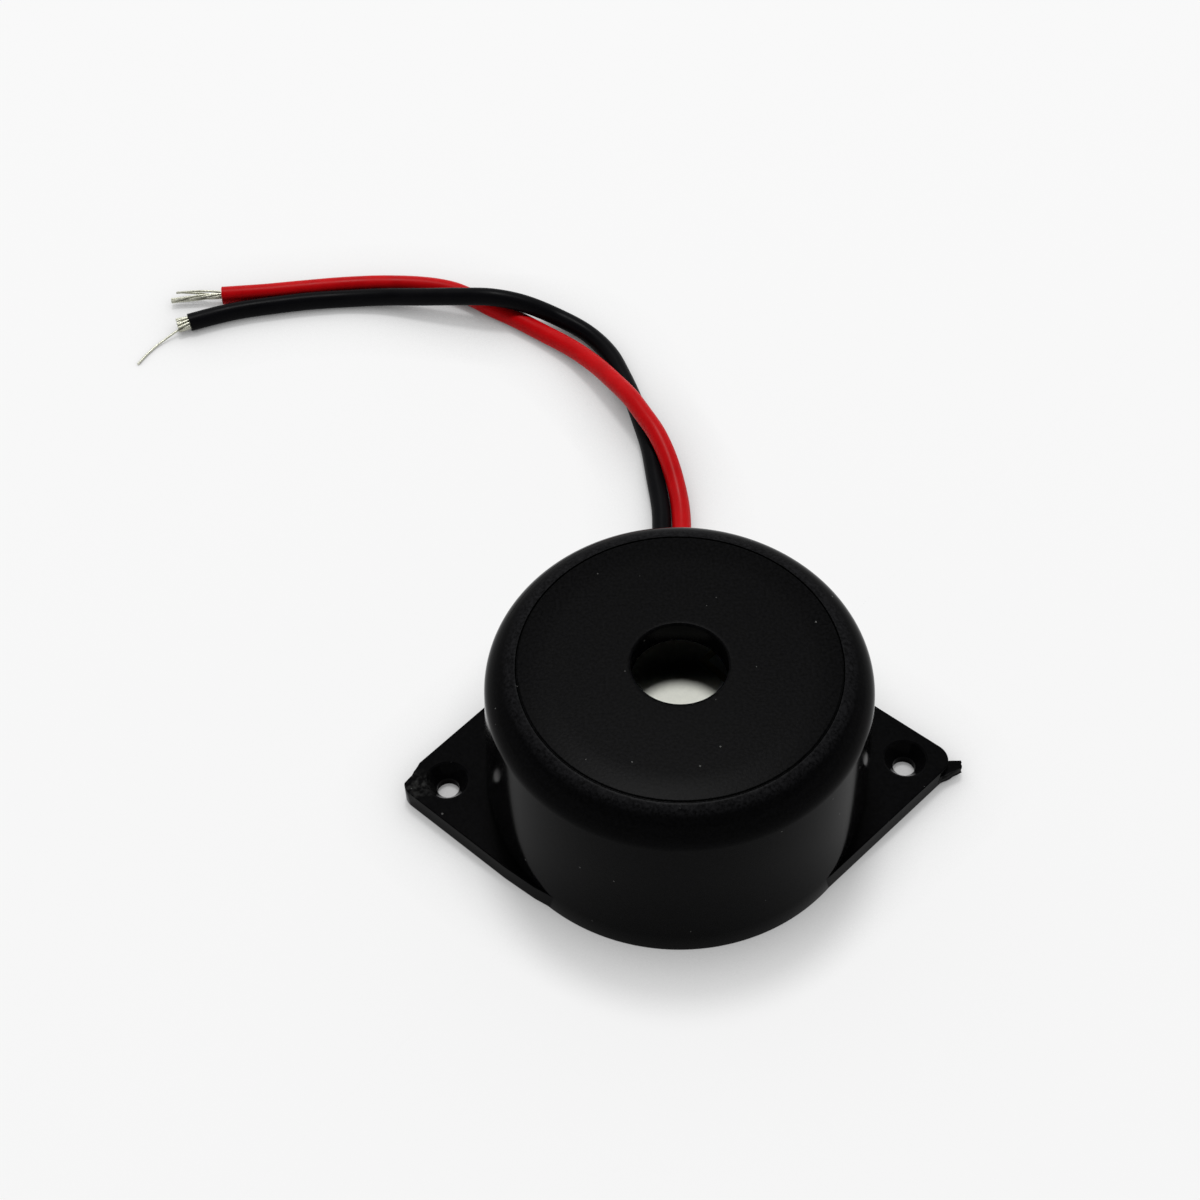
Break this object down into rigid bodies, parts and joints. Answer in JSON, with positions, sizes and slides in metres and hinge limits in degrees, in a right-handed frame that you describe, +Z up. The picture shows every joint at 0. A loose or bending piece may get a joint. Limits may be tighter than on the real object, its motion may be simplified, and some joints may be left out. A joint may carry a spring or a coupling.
{
  "type": "buzzer",
  "caption": "Round black panel buzzer with a capped housing, a top sound hole, flat mounting ears with screw holes, and red and black flying leads.",
  "frame": {"origin": "midway between the ear holes, on the seating plane", "axes": "+Z up to the sound hole, X along the two ears, +Y towards the leads"},
  "size_m": [0.0551, 0.0611, 0.0132],
  "materials": {
    "black_housing": "satin moulded, fine grain on the flat top",
    "plate_metal": "rolled",
    "piezo_cream": "unglazed",
    "fired_silver": "matte fired silver paint",
    "silicone": "cured bead",
    "board_paper": "phenolic paper laminate",
    "moulded_black": "moulded",
    "resistor_coat": "lacquer",
    "solder": "tinned",
    "resin": "cast",
    "red_cover": "smooth soft plastic",
    "black_cover": "smooth soft plastic",
    "white_cover": "smooth soft plastic",
    "blue_cover": "smooth soft plastic"
  },
  "bodies": {
    "root": {"top_cap": "black_housing", "base_housing": "black_housing", "piezo_plate": "plate_metal", "piezo_ceramic": "piezo_cream", "silver_electrode": "fired_silver", "adhesive_ring": "silicone", "circuit_board": "board_paper", "transistor": "moulded_black", "load_resistor": "resistor_coat", "bias_resistor": "resistor_coat", "feedback_resistor": "resistor_coat", "main_jumper": "white_cover", "plate_jumper": "black_cover", "feedback_jumper": "blue_cover", "element_solder": "solder", "board_solder": "solder", "potting": "resin", "red_lead": "red_cover", "black_lead": "black_cover", "red_conductor": "solder", "black_conductor": "solder"}
  },
  "joints": []
}
